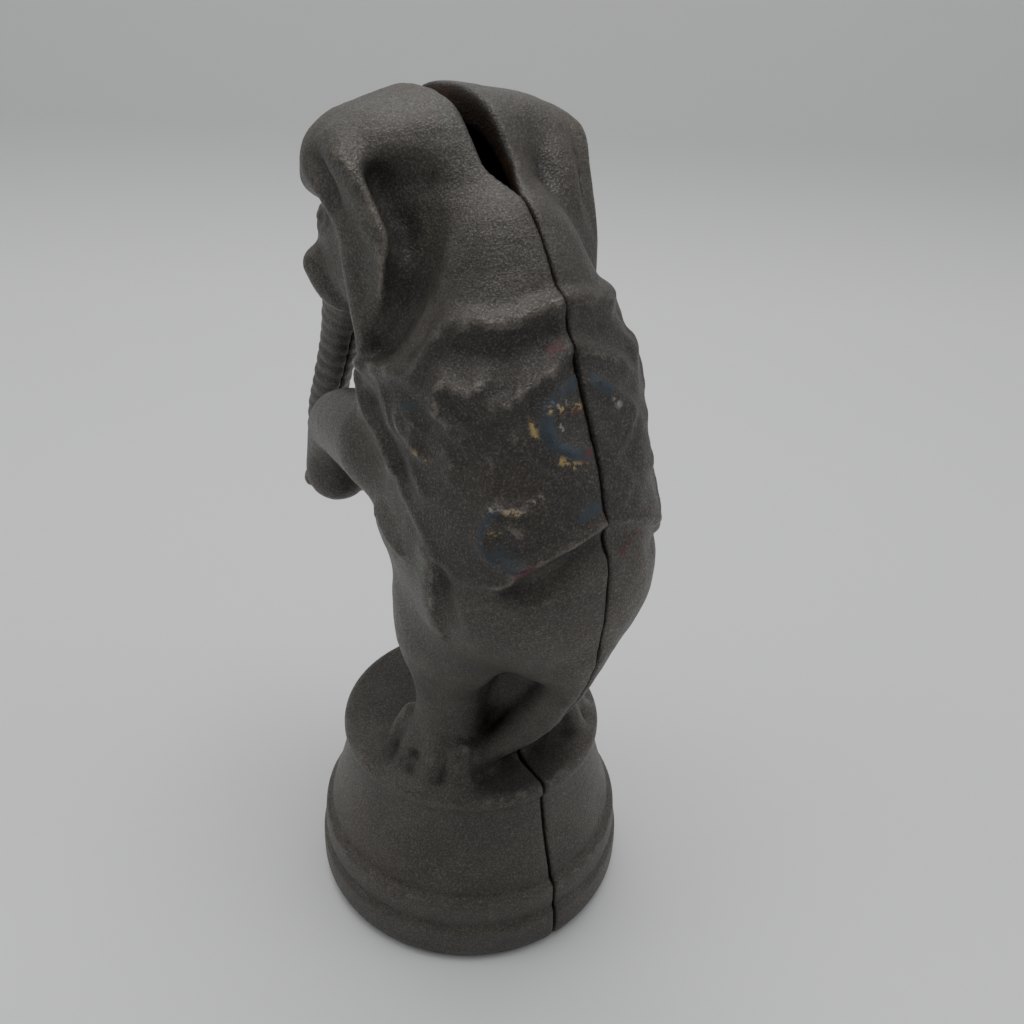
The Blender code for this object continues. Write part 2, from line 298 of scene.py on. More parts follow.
# Limbs, as (x, y, z, radius) stations.
RIGHT_SHOULDER = (
    (12.2, -1.6, 128.0, 2.4),
    (11.6, 0.6, 125.6, 3.0),
    (10.8, 3.4, 121.8, 3.0),
    (11.4, 4.4, 117.5, 3.0),
    (13.2, 4.2, 111.5, 3.0),
)
TRUNK = (
    (0, -32.5, 105.0, 7.0),
    (0, -38.8, 98.0, 4.8),
    (0, -42.6, 91.5, 3.8),
    (0, -45.6, 84.5, 3.4),
    (0, -49.4, 77.0, 3.3),
    (0, -52.6, 70.0, 3.3),
    (0, -53.8, 63.5, 3.3),
    (0, -50.4, 59.4, 3.3),
    (0, -44.0, 59.6, 3.2),
    (0, -37.5, 62.6, 3.2),
    (0, -33.0, 66.5, 3.2),
)
TAIL = (
    (0, 28.4, 66, 3.2),
    (0, 26.8, 59, 2.7),
    (0, 22.8, 51.5, 2.5),
    (0, 16.8, 43, 2.5),
    (0, 11.4, 35.5, 2.6),
)
TAIL_TIP = ((0, 22.4, 51, 2.5), (1.4, 18.6, 44.4, 2.5), (4.0, 15.0, 39, 2.3), (6.6, 12.4, 35.8, 2.2))

# The thin iron between the tail and the leg, as the lines that it is stretched between.
TAIL_WEB = ((0, 19.5, 62), (0, 17, 50), (0, 13.5, 42), (0, 10, 36))
LEG_BACK = ((3.8, 11, 62), (3.8, 10.6, 52), (3.8, 10.2, 44), (3.8, 9.6, 36))

TUSK = ((4.0, -28.0, 99.5, 2.6), (6.8, -30.0, 102.2, 3.3), (8.5, -31.1, 105.8, 3.2))
MOUTH = ((0, -36.4, 92.6, 0.7), (3.4, -34.2, 95.0, 0.8), (5.4, -31.2, 97.2, 0.7), (6.6, -28.0, 98.2, 0.5))
# The ridge round the eye, as (x, y, z, height) stations.
EYE_LIDS = (
    (8.0, -32.2, 113.0, 0.4),
    (8.8, -30.8, 115.4, 0.6),
    (9.3, -28.4, 115.8, 0.6),
    (9.6, -26.4, 114.4, 0.4),
    (9.6, -27.6, 112.4, 0.6),
    (9.3, -29.8, 112.0, 0.6),
    (8.0, -32.2, 113.0, 0.4),
)
TOES = (
    ((13.2, 2.6, 40, 2.0), (14.8, 1.6, 36.6, 1.9), (15.6, 1.2, 34.4, 1.8)),
    ((13.4, 6.4, 40, 2.0), (15.2, 6.0, 36.8, 1.9), (16.2, 5.8, 34.4, 1.8)),
    ((12.6, 10.4, 39.6, 2.0), (14.2, 10.6, 36.4, 2.0), (15.0, 10.6, 34.4, 1.8)),
    ((10.4, 12.6, 39, 2.0), (11.2, 13.6, 36, 2.0), (11.6, 14.2, 34.4, 1.8)),
)
TOENAILS = ((4.6, -35.7, 66.2), (8.1, -36.7, 66.0), (11.5, -35.3, 66.3))
TOENAIL_RADII = (1.5, 1.0, 1.9)
LOWER_LIP = ((0, -21, 103, 5.5), (0, -27, 98, 4.6), (0, -31.5, 94.5, 3.2))
FORELEG = (
    (12.0, -5, 87, 7.6),
    (10.5, -17, 83.5, 6.4),
    (8.8, -27.5, 79.5, 5.4),
    (8.2, -31.0, 74, 5.1),
    (8.0, -31.8, 68.4, 5.5),
)
SHIN = ((8.8, 7.0, 58, 7.6), (8.8, 7.6, 48, 5.8), (9.2, 7.2, 41, 5.7), (9.8, 6.6, 36, 6.8))

# The ear: its root along the skull, the crest of its curled back, and its outer margin, top to bottom.
EAR_ROOT = ((7, -9, 127), (8, -8, 125), (9, -6.5, 121), (10, -6, 116), (10.5, -5, 110), (10.5, -5, 104))
EAR_CREST = (
    (15.6, -7.4, 129.0, 2.2),
    (16.8, -4.4, 128.4, 1.8),
    (16.6, -2.2, 126.6, 1.5),
    (16.1, -0.6, 124.0, 1.4),
    (15.8, 1.0, 121.6, 1.3),
    (15.3, 2.5, 119.4, 1.3),
    (15.1, 3.7, 117.0, 1.3),
    (14.9, 3.9, 114.0, 1.4),
    (14.8, 2.8, 110.5, 1.5),
    (14.9, 1.0, 107.0, 1.6),
    (15.0, -0.5, 104.4, 1.8),
)
EAR_MARGIN = (
    (15.6, -12.6, 127.0, 1.7),
    (17.0, -11.0, 126.0, 1.6),
    (17.2, -7.8, 124.6, 1.5),
    (17.2, -5.6, 122.4, 1.5),
    (16.9, -3.4, 119.8, 1.5),
    (16.5, -3.3, 115.5, 1.6),
    (16.1, -2.7, 111.5, 1.7),
    (15.9, -1.6, 107.0, 1.8),
    (15.5, -0.8, 104.2, 1.9),
)
EAR_FRONT = ((7, -17, 126), (9, -16, 122), (9.6, -14, 117), (9.6, -12, 111), (9.6, -9, 105))

# The hollow behind the ear, between the ear's line and the nape's.
EAR_VALLEY = (
    (13.8, -0.6, 126.2),
    (13.5, 1.0, 123.6),
    (13.1, 3.3, 120.4),
    (13.9, 5.0, 117.0),
    (14.8, 4.9, 113.0),
    (15.9, 3.6, 109.2),
    (17.2, 2.2, 106.0),
)
NAPE_EDGE = (
    (9.8, 2.6, 126.4),
    (10.8, 3.5, 124.2),
    (11.6, 4.9, 121.0),
    (12.7, 5.9, 117.2),
    (14.0, 5.4, 113.0),
    (15.6, 4.2, 109.2),
    (17.2, 2.6, 106.0),
)

# The furrow and the ridge of the ear's curl, as (x, y, z, height) stations.
EAR_FURROW = (
    (18.8, -10.4, 127.8, 0.0),
    (18.7, -8.8, 127.2, -1.2),
    (18.7, -7.4, 126.3, -1.8),
    (18.6, -6.3, 125.2, -1.8),
    (18.4, -5.3, 123.8, -1.4),
    (18.1, -4.2, 121.9, -0.5),
)
EAR_RIM = (
    (18.6, -5.0, 129.4, 0.0),
    (18.4, -2.6, 129.1, 0.4),
    (18.0, -1.0, 127.6, 0.7),
    (17.3, 0.1, 125.6, 0.8),
    (16.7, 1.4, 123.2, 0.8),
    (16.2, 2.7, 120.8, 0.6),
    (16.3, 3.5, 118.4, 0.2),
)

# Lines on the back, as (distance round from the seam, height). First, the edges of the blanket.
BLANKET_TOP = (
    (-2, 115.4),
    (4, 114.6),
    (7, 113.5),
    (10, 113.3),
    (13.5, 113),
    (16.2, 112),
    (18.2, 110.2),
    (19.8, 107.6),
    (21.6, 105.8),
    (25, 105),
    (31, 103.4),
    (38, 102),
)
BLANKET_FRONT = ((42, 98.4), (38, 97.2), (35.5, 95.8), (32, 93.8), (29.4, 91.4), (27.4, 88.8))
BLANKET_SIDE = (
    (27.4, 88.8),
    (25.2, 86.8),
    (23.2, 85.2),
    (21.2, 83.4),
    (19.4, 81.4),
    (17.6, 80),
    (15.6, 79.6),
)
BLANKET_HEM = (
    (12.5, 79.8),
    (10.6, 81),
    (9.2, 83.4),
    (7.3, 84.8),
    (5.1, 86.2),
    (3, 87.3),
    (0.8, 88.4),
    (-2, 89.2),
)
# The whole outline of the blanket.
BLANKET = BLANKET_TOP + BLANKET_FRONT + BLANKET_SIDE[1:] + BLANKET_HEM

# The longer folds: the hollow over the blanket, its two thick rolls, and the crease below its hem.
OVER_HOLLOW = ((3, 118.6), (5.5, 118.2), (8, 117.4), (11, 117), (14, 116.2), (17, 114.6), (20, 111.6))
UPPER_ROLL = (
    (-2, 110.2),
    (1, 109.4),
    (3, 108),
    (5, 107),
    (7, 106),
    (8.3, 104.8),
    (10.2, 103.8),
    (12.4, 104.2),
)
SIDE_ROLL = (
    (10.4, 107),
    (12.6, 105.6),
    (14.3, 105.4),
    (16.2, 105.6),
    (17, 104.2),
    (17.3, 102.4),
    (18.4, 100.8),
)
LOW_CREASE = (
    (-2, 82.8),
    (0, 82.9),
    (2.8, 83.6),
    (4.7, 82.4),
    (5.7, 79.8),
    (6.9, 78.4),
    (8.8, 77.9),
    (10.3, 78.6),
    (13.2, 77.7),
    (17, 77),
)

# Folds: their height, the widths to the left and the right of their line, and the line.
FOLDS = (
    (-0.4, 2.4, 2.0, OVER_HOLLOW),
    (1.1, 0.7, 1.9, BLANKET_TOP),
    (-0.7, 2.0, 2.2, ((0.5, 111.8), (5, 110.8), (9, 109.2), (13, 109.2), (16, 108.4))),
    (1.2, 1.0, 1.3, UPPER_ROLL),
    (1.2, 1.0, 1.2, SIDE_ROLL),
    (0.8, 1.0, 1.0, ((17.3, 102.6), (16, 101), (14.6, 99.8), (13.2, 98.8))),
    (0.9, 0.9, 0.8, tuple(reversed(BLANKET_HEM))),
    (-0.9, 1.5, 1.5, ((-0.5, 86), (3, 85), (5, 83.4), (7, 81.4), (9.5, 80.2), (12, 79.6))),
    (0.4, 1.0, 3.0, LOW_CREASE),
    (1.3, 3.0, 1.3, BLANKET_FRONT),
    (-0.7, 1.5, 1.8, ((34.6, 98.6), (31.6, 96.2), (28.8, 93.6), (26.4, 90.8), (24.2, 88.6))),
    (0.6, 1.5, 1.1, BLANKET_SIDE),
    (0.9, 3.0, 1.0, ((23.2, 82.2), (20.6, 80.6), (20.4, 76), (20.4, 71.2), (20.6, 67))),
    (-0.6, 1.4, 1.4, ((18.8, 81.6), (18.4, 79), (18.0, 75.6), (17.2, 71.6))),
    (0.5, 0.8, 1.2, ((17, 78), (16.4, 75.6), (15.2, 72))),
    (0.6, 0.8, 1.0, ((23, 100.6), (21.4, 98.4), (21.8, 96.4), (20.6, 94.4))),
    (0.5, 0.8, 0.8, ((17.4, 98), (15.8, 96.4), (16.2, 94.2), (14.8, 92.6))),
    (0.6, 0.8, 1.0, ((29, 101.4), (27, 99.4), (26.6, 97.2), (25, 95.6))),
    (0.5, 0.8, 0.8, ((24.4, 92.4), (21.8, 91.2), (20.6, 89))),
    (0.5, 0.7, 0.7, ((12.6, 98.6), (11.2, 97), (11.6, 95.4))),
    (0.9, 0.9, 2.4, ((36.5, 80.2), (33, 78.8), (30, 77.4), (27.4, 77.2))),
    (-0.4, 1.2, 1.2, ((26, 103), (22.6, 102.6), (19.6, 100.4), (18.6, 98))),
)
# The right half's folds are lower.
RIGHT_FOLDS = tuple((0.6 * height, *rest) for height, *rest in FOLDS)


def arc(centre, radii, start, end):
    """Points along an arc of an ellipse in the chart, with the angles in degrees."""
    angles = np.radians(np.linspace(start, end, 12))
    return tuple(zip(centre[0] + radii[0] * np.cos(angles), centre[1] + radii[1] * np.sin(angles)))


# The ornaments that stand proud of the blanket.
RING = arc((0.2, 101.3), (5.0, 4.1), 80, -78)
RING_BAR = ((0.8, 102.8), (2.6, 103.0), (4.6, 103.3))
SCROLL_TOP = ((6.8, 93.2), (8.0, 92.2), (9.4, 91.4), (11.0, 92.0), (12.2, 90.8))
SCROLL = ((11.2, 91.2), (12.5, 88.8), (12.9, 86.6), (12.1, 84.8), (10.0, 83.9), (7.6, 84.4))
SCROLL_CURL = ((11.6, 88.6), (10.0, 89.4), (8.6, 88.2), (9.2, 86.8))
SIDE_SCROLL = ((20.6, 101.4), (23.2, 101.0), (24.6, 99.4), (24.0, 97.2), (22.2, 95.9), (19.6, 94.5))
LEFT_ORNAMENTS = (
    (0.7, 1.0, 1.0, RING),
    (0.6, 0.7, 0.7, RING_BAR),
    (0.22, 0.5, 0.5, arc((0, 101.4), (7.0, 5.8), 10, -88)),
    (0.22, 0.5, 0.5, arc((0, 101.4), (8.8, 7.4), 15, -88)),
    (0.7, 0.8, 0.8, SCROLL_TOP),
    (0.65, 0.9, 0.9, SCROLL),
    (0.5, 0.7, 0.7, SCROLL_CURL),
    (0.5, 0.9, 0.9, SIDE_SCROLL),
)

# What is left of the paint on each half: its colour, half the width of the stroke, and the line.
LEFT_PAINT = (
    ("blue", 0.85, RING),
    ("blue", 0.9, ((1.0, 91.0), (1.9, 90.7), (2.9, 90.3))),
    ("blue", 0.35, SCROLL),
    ("blue", 0.9, ((9.8, 84.6), (11.2, 85.8))),
    ("blue", 0.4, ((20.8, 101.3), (23.2, 100.9))),
    ("gold", 0.3, arc((0, 101.3), (6.6, 5.4), 12, -12)),
    ("gold", 0.45, arc((0, 101.3), (6.2, 5.3), -48, -74)),
    ("gold", 0.4, RING_BAR),
    ("gold", 0.4, ((9.0, 91.4), (10.0, 91.4))),
    ("gold", 0.4, ((11.0, 88.7), (11.7, 88.1))),
    ("gold", 0.4, ((19.6, 94.6), (21.4, 95.3))),
    ("white", 0.3, ((1.2, 103.5), (4.0, 103.9))),
    ("white", 0.3, ((2.9, 102.6), (3.4, 101.2), (3.0, 99.8))),
    ("white", 0.35, SCROLL_TOP),
    ("white", 0.35, ((24.8, 98.6), (24.2, 96.8), (22.6, 95.8))),
    ("red", 0.5, ((0.8, 97.6), (1.6, 97.0))),
    ("red", 0.35, ((1.2, 102.2), (3.0, 102.4))),
    ("red", 0.7, ((7.6, 84.2), (9.0, 83.4))),
    ("red", 0.5, ((2.0, 109.8), (3.0, 109.3))),
)
RIGHT_PAINT = (
    ("blue", 0.8, ((1.9, 105.3), (3.2, 103.9))),
    ("white", 0.3, ((4.0, 102.6), (4.6, 101.4))),
    ("red", 0.35, ((1.6, 83.4), (4.0, 84.2), (6.0, 84.8))),
    ("red", 0.4, ((3.4, 88.6), (5.2, 88.0))),
)

# The right half's own ornament: a pointed ring.
POINTED_RING = (
    (0.5, 105.2),
    (3.2, 104.2),
    (5.0, 102.2),
    (6.6, 100.6),
    (5.0, 98.8),
    (3.0, 97.0),
    (0.8, 96.0),
)
RIGHT_ORNAMENTS = (
    (0.5, 0.9, 0.9, POINTED_RING),
    (0.35, 0.7, 0.7, ((0.8, 95.0), (3.0, 94.0), (3.6, 92.4), (2.4, 90.8), (0.6, 90.2))),
    (0.5, 0.9, 0.9, SCROLL),
    (0.5, 0.8, 0.8, SCROLL_TOP),
    (0.5, 0.9, 0.9, SIDE_SCROLL),
)


def section_level(x, y, z, sections, inset):
    """How far out points lie in the inset sections, 1 on the outline, with the half width and depth."""
    fine = smooth_path(sections, 8)
    rear, front, half = (np.interp(z, fine[:, 0], fine[:, column]) for column in (1, 2, 3))
    middle, depth, half = (rear + front) / 2, (rear - front) / 2 - inset, half - inset
    level = np.abs(x / half) ** SQUARENESS + np.abs((y - middle) / depth) ** SQUARENESS
    return level ** (1 / SQUARENESS), half, depth


def body(field):
    """The trunk of the body from its horizontal sections."""
    low, high = BODY_SECTIONS[0, 0], BODY_SECTIONS[-1, 0]
    reach = BODY_SECTIONS[:, 1:].max() + MARGIN
    cuts, x, y, z = field.window((-9, -reach, low - MARGIN), (reach, reach, high + MARGIN))
    level, _, _ = section_level(x, y, z, BODY_SECTIONS, 0.0)
    along_x, along_y, along_z = np.gradient(level, field.cell)
    level_slope = np.maximum(np.hypot(along_x, along_y), 0.02)
    upright = np.minimum(np.abs(along_z), 1.2 * level_slope)
    distance = (level - 1) / np.hypot(level_slope, upright)
    distance = np.maximum(distance, np.maximum(low - z, z - high))
    field.join(cuts, distance.astype(np.float32), 2.0)


def sheet(field, first, second, radius, fillet=1.5, carve=False):
    """A sheet between two lines of stations, as close-set ribs, joined to the field or carved from it."""
    a, b = (smooth_path(np.array(line)[:, :3], 6) for line in (first, second))
    count = 40
    pick = np.linspace(0, 1, count)
    a, b = (
        np.stack([np.interp(pick, np.linspace(0, 1, len(line)), line[:, i]) for i in range(3)], 1)
        for line in (a, b)
    )
    cuts, x, y, z = field.around(np.vstack([a, b]), radius + MARGIN)
    distance = None
    for start, end in zip(a, b):
        rib = to_chain(x, y, z, np.array(((*start, radius), (*end, radius))))
        distance = rib if distance is None else np.minimum(distance, rib)
    (field.carve if carve else field.join)(cuts, distance.astype(np.float32), fillet)


def dome(field):
    """The broad squarish crown that the ears hang from."""
    middle, wide, hollow_shade, above, below, power = (-10.2, 125.0), 19.0, 11.4, 9.6, 4.8, 2.8
    cuts, x, y, z = field.window((-9, -30, 110), (30, 12, 140))
    up = z - middle[1] - 0.08 * (y + 7.0)
    up = up / np.where(up > 0, above, below)
    across = np.abs(x) / wide, np.abs(y - middle[0]) / hollow_shade, np.abs(up)
    level = sum(a**power for a in across) ** (1 / power)
    slopes = np.gradient(level, field.cell)
    distance = (level - 1) / np.maximum(np.sqrt(sum(s**2 for s in slopes)), 0.02)
    field.join(cuts, distance.astype(np.float32), 4.0)


def ear(field):
    """The ear, as three sheets with thickened edges."""
    sheet(field, EAR_ROOT, EAR_CREST, 1.8, 2.5)
    sheet(field, EAR_FRONT, EAR_MARGIN, 1.6, 2.5)
    sheet(field, EAR_CREST, EAR_MARGIN, 1.2)
    limb(field, EAR_CREST, 1.5)
    limb(field, EAR_MARGIN, 1.5)


def behind_ear(field, depth):
    """The hollow between the ear and the nape, and the lines of the ear's curled back."""
    sheet(field, EAR_VALLEY, NAPE_EDGE, depth, 2.0, carve=True)
    crease(field, EAR_FURROW, 1.3)
    crease(field, EAR_RIM, 0.9)


def elephant():
    """The left half of the elephant's outer form and a little beyond the parting plane."""
    field = Field(FORM_LOW, FORM_HIGH)
    body(field)
    ball(field, *HEAD, 2.0)
    ball(field, *FACE)
    dome(field)
    limb(field, TRUNK, rings=0.22)
    sheet(field, TAIL, TAIL_WEB, 0.9, 1.2)
    sheet(field, TAIL_WEB, LEG_BACK, 1.3, 1.2)
    limb(field, TAIL)
    limb(field, LOWER_LIP)
    ear(field)
    limb(field, TUSK, 1.2)
    limb(field, FORELEG, 3.0)
    ball(field, *THIGH)
    ball(field, *RUMP, 4.0)
    limb(field, SHIN, 3.0)
    ball(field, *FOOT, 1.5)
    for toe in TOES:
        limb(field, toe, 1.0)
    ball(field, *TOE_PIT, 0.8, carve=True)
    for nail in TOENAILS:
        ball(field, nail, TOENAIL_RADII, 0.5)
    limb(field, MOUTH, 0.8, carve=True)
    ball(field, *EYE, 0.3)
    crease(field, EYE_LIDS, 0.7)
    return field


# --- relief ---

BACK_RADIUS = 17.5
BACK_LOW, BACK_HIGH, BACK_FRONT = 58, 121, -14

# The relief is added only this far below the skin and above it.
DEEPEST = 2.0
HIGHEST = 3.0

# Layers of noise, as (height, size of the lumps): all over the castings, and on the blanket.
CAST_LUMPS = ((0.05, 1.1), (0.07, 2.6))
CLOTH_LUMPS = ((0.3, 4.5), (0.16, 2.0))


def smooth_step(value):
    value = np.clip(value, 0.0, 1.0)
    return value * value * (3 - 2 * value)


def chart(x, y, z):
    """How far round the back a point lies from the seam, in millimetres, and its height."""
    middle = np.interp(z, BODY_SECTIONS[:, 0], BODY_SECTIONS[:, 1:3].mean(1))
    return BACK_RADIUS * np.arctan2(x, y - middle), z


def on_back(y, z):
    """Whether points are in the part of the back that the chart is drawn for."""
    return (z > BACK_LOW) & (z < BACK_HIGH) & (y > BACK_FRONT)


def to_path(u, v, path):
    """For chart points: the distance to a path, whether they are on its left, and how near its ends."""
    runs = np.diff(path, axis=0)
    lengths = np.hypot(*runs.T)
    starts = np.concatenate([[0], np.cumsum(lengths)])
    nearest = np.full(u.shape, 1e6)
    left = np.zeros(u.shape, bool)
    place = np.zeros(u.shape)
    for (a, b), (run_u, run_v), length, start in zip(path, runs, lengths, starts):
        t = np.clip(((u - a) * run_u + (v - b) * run_v) / max(length**2, 1e-9), 0, 1)
        du, dv = u - a - t * run_u, v - b - t * run_v
        away = np.hypot(du, dv)
        closer = away < nearest
        nearest = np.where(closer, away, nearest)
        left = np.where(closer, run_u * dv > run_v * du, left)
        place = np.where(closer, start + t * length, place)
    return nearest, left, np.minimum(place, starts[-1] - place)


def fold_lift(u, v, height, left_width, right_width, stations):
    """How far a fold lifts each chart point: a smooth ridge or groove that fades out at its ends."""
    path = smooth_path(stations, 4)
    lift = np.zeros(u.shape)
    reach = 2.6 * max(left_width, right_width)
    low, high = path.min(0) - reach, path.max(0) + reach
    near = np.flatnonzero((u > low[0]) & (u < high[0]) & (v > low[1]) & (v < high[1]))
    away, left, from_end = to_path(u[near], v[near], path)
    width = np.where(left, left_width, right_width)
    lift[near] = height * np.exp(-((away / width) ** 2)) * smooth_step(0.25 + from_end / 2.5)
    return lift


def patch_lift(u, v, outline, height, softness):
    """Height inside an outline in the chart, falling smoothly to nothing at its edge."""
    inside = np.zeros(u.shape, bool)
    for (u0, v0), (u1, v1) in zip(outline, outline[1:] + outline[:1]):
        if v0 != v1:
            inside ^= ((v0 > v) != (v1 > v)) & (u < u0 + (v - v0) * (u1 - u0) / (v1 - v0))
    away, _, _ = to_path(u, v, np.array(outline + outline[:1], float))
    return height * smooth_step(0.5 + np.where(inside, away, -away) / softness)


def noise(x, y, z, size, seed):
    """Smooth noise from -1 to 1 with lumps of about that size."""
    lattice = np.random.default_rng(seed).uniform(-1, 1, (64, 64, 64)).astype(np.float32)
    scaled = [value / size + 200.0 for value in (x, y, z)]
    cells = [np.floor(value).astype(int) for value in scaled]
    shares = [smooth_step(value - cell) for value, cell in zip(scaled, cells)]
    total = 0.0
    for corner in product((0, 1), repeat=3):
        weight = 1.0
        for share, step in zip(shares, corner):
            weight = weight * (share if step else 1 - share)
        total = total + weight * lattice[tuple((cell + step) % 64 for cell, step in zip(cells, corner))]
    return total


def crease(field, stations, width):
    """A ridge on the skin along (x, y, z, height) stations, or a groove where the height is negative."""
    chain = smooth_path(stations)
    cuts, x, y, z = field.around(chain[:, :3], 3 * width)
    lift = np.zeros(np.broadcast(x, y, z).shape)
    for start, end in zip(chain, chain[1:]):
        squared, height = along_run(x, y, z, start, end)
        part = height * np.exp(-squared / width**2)
        lift = np.where(np.abs(part) > np.abs(lift), part, lift)
    field.values[cuts] -= lift


def lumps(x, y, z, layers, seed):
    """Noise in layers of (height, size)."""
    return sum(height * noise(x, y, z, size, seed + i) for i, (height, size) in enumerate(layers))


def relief(field, folds, seed):
    """The blanket with its folds and ornaments, and the lumps and grain of the casting."""
    band = np.nonzero((field.values > -DEEPEST) & (field.values < HIGHEST))
    x, y, z = (axis[index] for axis, index in zip(field.axes, band))
    lift = lumps(x, y, z, CAST_LUMPS, seed)
    back = np.flatnonzero(on_back(y, z))
    u, v = chart(x[back], y[back], z[back])
    cloth = patch_lift(u, v, BLANKET, 1.0, 2.4)
    amount = cloth * (0.8 + lumps(x[back], y[back], z[back], CLOTH_LUMPS, seed + len(CAST_LUMPS)))
    for fold in folds:
        amount += fold_lift(u, v, *fold)
    under_ear = smooth_step((z[back] - 101) / 3) * smooth_step((3 - y[back]) / 3)
    lift[back] += amount * (1 - under_ear)
    field.values[band] -= lift


# --- the tub ---

TUB_OUTSIDE = (
    (0.0, TUB_HEIGHT),
    (TUB_TOP - 1.2, TUB_HEIGHT),
    (TUB_TOP - 0.3, TUB_HEIGHT - 0.4),
    (TUB_TOP, TUB_HEIGHT - 1.2),
    (TUB_TOP, 31.0),
    (TUB_TOP - 0.8, 30.2),
    (TUB_TOP - 0.3, 27.5),
    (22.8, 23.5),
    (23.9, 19.5),
    (25.1, 15.8),
    (25.2, 14.5),
    (25.4, 14.1),
    (26.5, 13.3),
    (26.8, 10.0),
    (26.5, 8.5),
    (26.6, 8.1),
    (27.3, 7.3),
    (TUB_BASE, 5.0),
    (TUB_BASE, 2.6),
    (TUB_BASE - 0.5, 1.0),
    (TUB_BASE - 1.6, 0.0),
    (0.0, 0.0),
)
TUB_INSIDE = (
    (0.0, TUB_HEIGHT - WALL),
    (15.5, TUB_HEIGHT - WALL),
    (17.5, TUB_HEIGHT - WALL - 0.4),
    (19.0, 28.0),
    (20.6, 20.0),
    (23.4, 12.0),
    (TUB_BASE - WALL - 1.2, 3.0),
    (TUB_BASE - 1.6 - WALL, -4.0),
    (0.0, -4.0),
)


def to_turned(x, y, z, profile):
    """Distance to the solid that a closed (radius, height) profile sweeps round the tub's axis."""
    r = np.sqrt(x**2 + y**2)
    nearest = None
    inside = np.zeros(np.broadcast(r, z).shape, bool)
    for (r0, z0), (r1, z1) in zip(profile, profile[1:]):
        length = (r1 - r0) ** 2 + (z1 - z0) ** 2
        t = np.clip(((r - r0) * (r1 - r0) + (z - z0) * (z1 - z0)) / length, 0, 1)
        away = (r - r0 - t * (r1 - r0)) ** 2 + (z - z0 - t * (z1 - z0)) ** 2
        nearest = away if nearest is None else np.minimum(nearest, away)
        if z0 != z1:
            inside ^= ((z0 > z) != (z1 > z)) & (r < r0 + (z - z0) * (r1 - r0) / (z1 - z0))
    return (np.sqrt(nearest) * np.where(inside, -1, 1)).astype(np.float32)


def tub(field):
    cuts, x, y, z = field.window((-3, -33, -3), (33, 33, TUB_HEIGHT + 5))
    field.join(cuts, to_turned(x, y, z, TUB_OUTSIDE), 3.0)


# --- the hollow and the cuts ---


def hollow(field):
    """The inside of the casting: the hollow of the body and the head round the boss, and the open tub."""
    cuts, x, y, z = field.window((-9, -40, 50), (33, 40, 130))
    sections = BODY_SECTIONS[2:-2]
    level, half, depth = section_level(x, y, z, sections, WALL)
    distance = (level - 1) * np.minimum(half, depth)
    distance = smooth_max(distance, np.maximum(sections[0, 0] + 1 - z, z - sections[-1, 0]), 2.0)
    centre, radii = HEAD
    distance = smooth_min(distance, to_ball(x, y, z, centre, [radius - WALL for radius in radii]), 1.5)
    boss = to_rod(x, y, z, BOSS, -5, 60, SCREW_Y, SCREW_Z)
    distance = smooth_max(distance, -boss, 1.5)
    distance = smooth_max(distance, field.values[cuts] + WALL - 0.4, 1.0)
    field.carve(cuts, distance.astype(np.float32), 0.6)
    cuts, x, y, z = field.window((-3, -33, -3), (33, 33, TUB_HEIGHT))
    field.carve(cuts, to_turned(x, y, z, TUB_INSIDE), 0.6)


def coin_slot(field):
    """The slot, with worn bevelled lips and a pointed rear end."""
    cuts, x, y, z = field.window((-9, -40, HEAD[0][2]), (12, 20, 140))
    half = (SLOT_WIDTH / 2 - 0.2) * np.clip((SLOT_REAR + 3.0 - y) / 5.0, 0.0, 1.0)
    side = np.abs(x) - half
    ends = np.maximum(SLOT_FRONT - y, y - SLOT_REAR - 3.0)
    field.carve(cuts, np.maximum(side, ends).astype(np.float32), 1.1)


# How many cells the material's edges and creases, and the hollows that get painted shade, are judged over.
FINE_BLUR = 2
BROAD_BLUR = 7


def blurred(values, reach):
    """The mean over a cube of cells that reaches that far to each side."""
    for axis in range(3):
        count = values.shape[axis]
        total = np.insert(np.cumsum(values, axis, dtype=np.float32), 0, 0, axis)
        ends = np.minimum(np.arange(count) + reach + 1, count)
        starts = np.maximum(np.arange(count) - reach, 0)
        shape = [1, 1, 1]
        shape[axis] = count
        values = (total.take(ends, axis) - total.take(starts, axis)) / (ends - starts).reshape(shape)
    return values


def parting_gap(field, skin):
    """Half of the gap between the castings: wider at the worn outer edges, most at shoulders and tub."""
    y, z = field.axes[1][None, :, None], field.axes[2][None, None, :]
    shoulders = 0.10 * np.exp(-(((z - 105) / 5) ** 2)) * smooth_step((y - 10) / 4)
    edges = 0.18 * smooth_step((TUB_HEIGHT + 1 - z) / 2) * smooth_step((y - 8) / 4)
    wander = 0.05 * noise(0 * y, y + 0 * z, z + 0 * y, 3.0, 31)
    return PARTING + (0.1 + shoulders + edges + wander) * smooth_step(1 + skin / 1.5)


def left_joint(field, values):
    """The pegs and the tapped blind hole of the left half."""
    for y, z in PEGS:
        cuts, gx, gy, gz = field.window((-9, y - 3, z - 3), (3, y + 3, z + 3))
        pin = to_rod(gx, gy, gz, PEG, PARTING - PEG_LENGTH, 2, y, z)
        values[cuts] = smooth_min(values[cuts], pin, 0.4)
    cuts, gx, gy, gz = field.window(
        (-9, SCREW_Y - 4, SCREW_Z - 4), (SHANK_TIP + 3, SCREW_Y + 4, SCREW_Z + 4)
    )
    hole = to_rod(gx, gy, gz, SHANK + FIT, -9, SHANK_TIP + 0.6, SCREW_Y, SCREW_Z)
    values[cuts] = smooth_max(values[cuts], -hole, 0.3)


